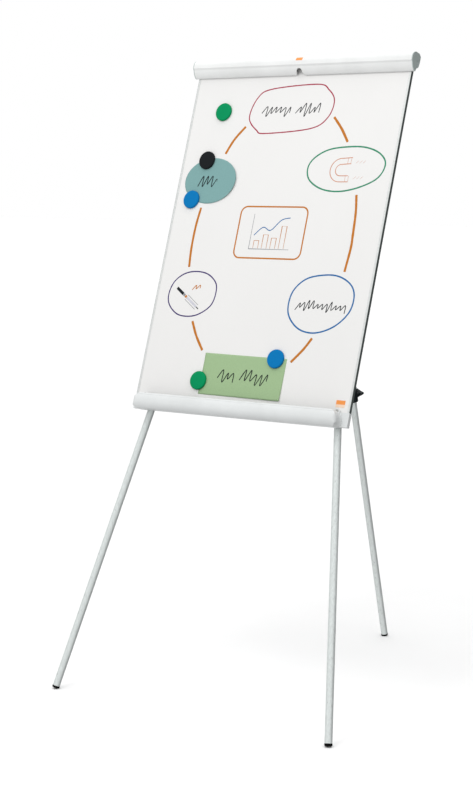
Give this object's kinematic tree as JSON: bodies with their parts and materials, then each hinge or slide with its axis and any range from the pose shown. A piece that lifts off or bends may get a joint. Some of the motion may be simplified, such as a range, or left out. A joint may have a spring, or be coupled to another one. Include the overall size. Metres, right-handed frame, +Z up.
{
  "type": "flipchart easel",
  "caption": "Tripod easel with a leaning magnetic panel, a sprung clamp bar and pad hooks on top, a pen tray below and telescopic legs that fold and shorten.",
  "frame": {"origin": "on the floor, at the middle of the feet's bounding box", "axes": "+X to the viewer's right when facing the panel, +Y backwards to the rear leg, +Z up"},
  "size_m": [0.9156, 1.0477, 1.7385],
  "materials": {
    "writing_face": "smooth white lacquer",
    "core_board": "matt",
    "back_skin": "matt lacquer",
    "frame_profile": "satin anodised",
    "clamp_shell": "satin pale grey",
    "cap_plastic": "satin mid grey",
    "rail_metal": "mill finish",
    "tray_plastic": "satin pale grey",
    "tube_paint": "satin silver-grey lacquer",
    "black_plastic": "fine grained",
    "foot_rubber": "matt",
    "zinc_steel": "zinc plated",
    "magnet_green": "glossy",
    "magnet_blue": "glossy",
    "magnet_black": "glossy",
    "card_green": "matt card",
    "paper_teal": "matt paper",
    "label_orange": "printed film"
  },
  "bodies": {
    "panel": {"writing_surface": "writing_face", "board_core": "core_board", "back_sheet": "back_skin", "frame_side_left": "frame_profile", "frame_side_right": "frame_profile", "frame_bottom": "frame_profile", "frame_top": "frame_profile", "green_card": "card_green", "teal_paper": "paper_teal", "board_label": "label_orange", "clamp_rail": "rail_metal", "clamp_hinge_rod": "zinc_steel", "rail_rivets": "zinc_steel", "rail_cap_left": "cap_plastic", "rail_cap_right": "cap_plastic", "clamp_spring_left": "zinc_steel", "clamp_spring_right": "zinc_steel", "pen_tray": "tray_plastic", "tray_end_left": "tray_plastic", "tray_end_right": "tray_plastic", "tray_screws": "zinc_steel", "front_tube_upper_left": "tube_paint", "front_tube_upper_right": "tube_paint", "front_collar_left": "black_plastic", "front_collar_right": "black_plastic", "tube_saddles_left": "black_plastic", "tube_saddles_right": "black_plastic", "saddle_rivets": "zinc_steel", "hinge_bracket": "zinc_steel", "hinge_pin": "zinc_steel", "hinge_screws": "zinc_steel"},
    "clamp": {"clamp_bar": "clamp_shell", "clamp_cap_left": "cap_plastic", "clamp_cap_right": "cap_plastic", "clamp_label": "label_orange"},
    "hook_left": {"pad_hook_left": "black_plastic"},
    "hook_right": {"pad_hook_right": "black_plastic"},
    "front_leg_left": {"front_tube_lower_left": "tube_paint", "front_glide_left": "black_plastic", "front_foot_left": "foot_rubber"},
    "front_leg_right": {"front_tube_lower_right": "tube_paint", "front_glide_right": "black_plastic", "front_foot_right": "foot_rubber"},
    "front_lock_left": {"front_knob_left": "black_plastic"},
    "front_lock_right": {"front_knob_right": "black_plastic"},
    "rear_leg": {"rear_tube_upper": "tube_paint", "rear_collar": "black_plastic", "rear_head": "black_plastic"},
    "rear_leg_lower": {"rear_tube_lower": "tube_paint", "rear_glide": "black_plastic", "rear_foot": "foot_rubber"},
    "rear_lock": {"rear_knob": "black_plastic"},
    "button_green_high": {"magnet_green_high": "magnet_green"},
    "button_black": {"magnet_black": "magnet_black"},
    "button_blue_high": {"magnet_blue_high": "magnet_blue"},
    "button_blue_low": {"magnet_blue_low": "magnet_blue"},
    "button_green_low": {"magnet_green_low": "magnet_green"}
  },
  "joints": [
    {"name": "clamp_hinge", "type": "hinge", "parent": "panel", "child": "clamp", "pos_m": [0, 0.04878, 1.72445], "axis": [-1, 0, 0], "range_deg": [0, 35], "stiffness_Nm_per_rad": 1.5, "springref_deg": -20.05},
    {"name": "hook_slide_left", "type": "slide", "parent": "panel", "child": "hook_left", "axis": [1, 0, 0], "range_m": [-0.06, 0.06]},
    {"name": "front_leg_slide_left", "type": "slide", "parent": "panel", "child": "front_leg_left", "axis": [0.1727, 0.3174, 0.9324], "range_m": [0, 0.4]},
    {"name": "front_lock_turn_left", "type": "hinge", "parent": "panel", "child": "front_lock_left", "pos_m": [-0.29598, -0.23474, 0.82335], "axis": [0, -0.9466, 0.3223], "range_deg": [0, 180]},
    {"name": "hook_slide_right", "type": "slide", "parent": "panel", "child": "hook_right", "axis": [1, 0, 0], "range_m": [-0.06, 0.06]},
    {"name": "front_leg_slide_right", "type": "slide", "parent": "panel", "child": "front_leg_right", "axis": [-0.1727, 0.3174, 0.9324], "range_m": [0, 0.4]},
    {"name": "front_lock_turn_right", "type": "hinge", "parent": "panel", "child": "front_lock_right", "pos_m": [0.29598, -0.23474, 0.82335], "axis": [0, 0.9466, -0.3223], "range_deg": [0, 180]},
    {"name": "rear_leg_fold", "type": "hinge", "parent": "panel", "child": "rear_leg", "pos_m": [0, 0.07283, 1.68262], "axis": [-1, 0, 0], "range_deg": [0, 33]},
    {"name": "rear_leg_slide", "type": "slide", "parent": "rear_leg", "child": "rear_leg_lower", "axis": [0, -0.2543, 0.9671], "range_m": [0, 0.4]},
    {"name": "rear_lock_turn", "type": "hinge", "parent": "rear_leg", "child": "rear_lock", "pos_m": [0, 0.31484, 0.7621], "axis": [0, 0.9671, 0.2543], "range_deg": [0, 180]},
    {"name": "lift_green_high", "type": "slide", "parent": "panel", "child": "button_green_high", "axis": [0, -0.9466, 0.3223], "range_m": [0, 0.08]},
    {"name": "lift_black", "type": "slide", "parent": "panel", "child": "button_black", "axis": [0, -0.9466, 0.3223], "range_m": [0, 0.08]},
    {"name": "lift_blue_high", "type": "slide", "parent": "panel", "child": "button_blue_high", "axis": [0, -0.9466, 0.3223], "range_m": [0, 0.08]},
    {"name": "lift_blue_low", "type": "slide", "parent": "panel", "child": "button_blue_low", "axis": [0, -0.9466, 0.3223], "range_m": [0, 0.08]},
    {"name": "lift_green_low", "type": "slide", "parent": "panel", "child": "button_green_low", "axis": [0, -0.9466, 0.3223], "range_m": [0, 0.08]}
  ]
}
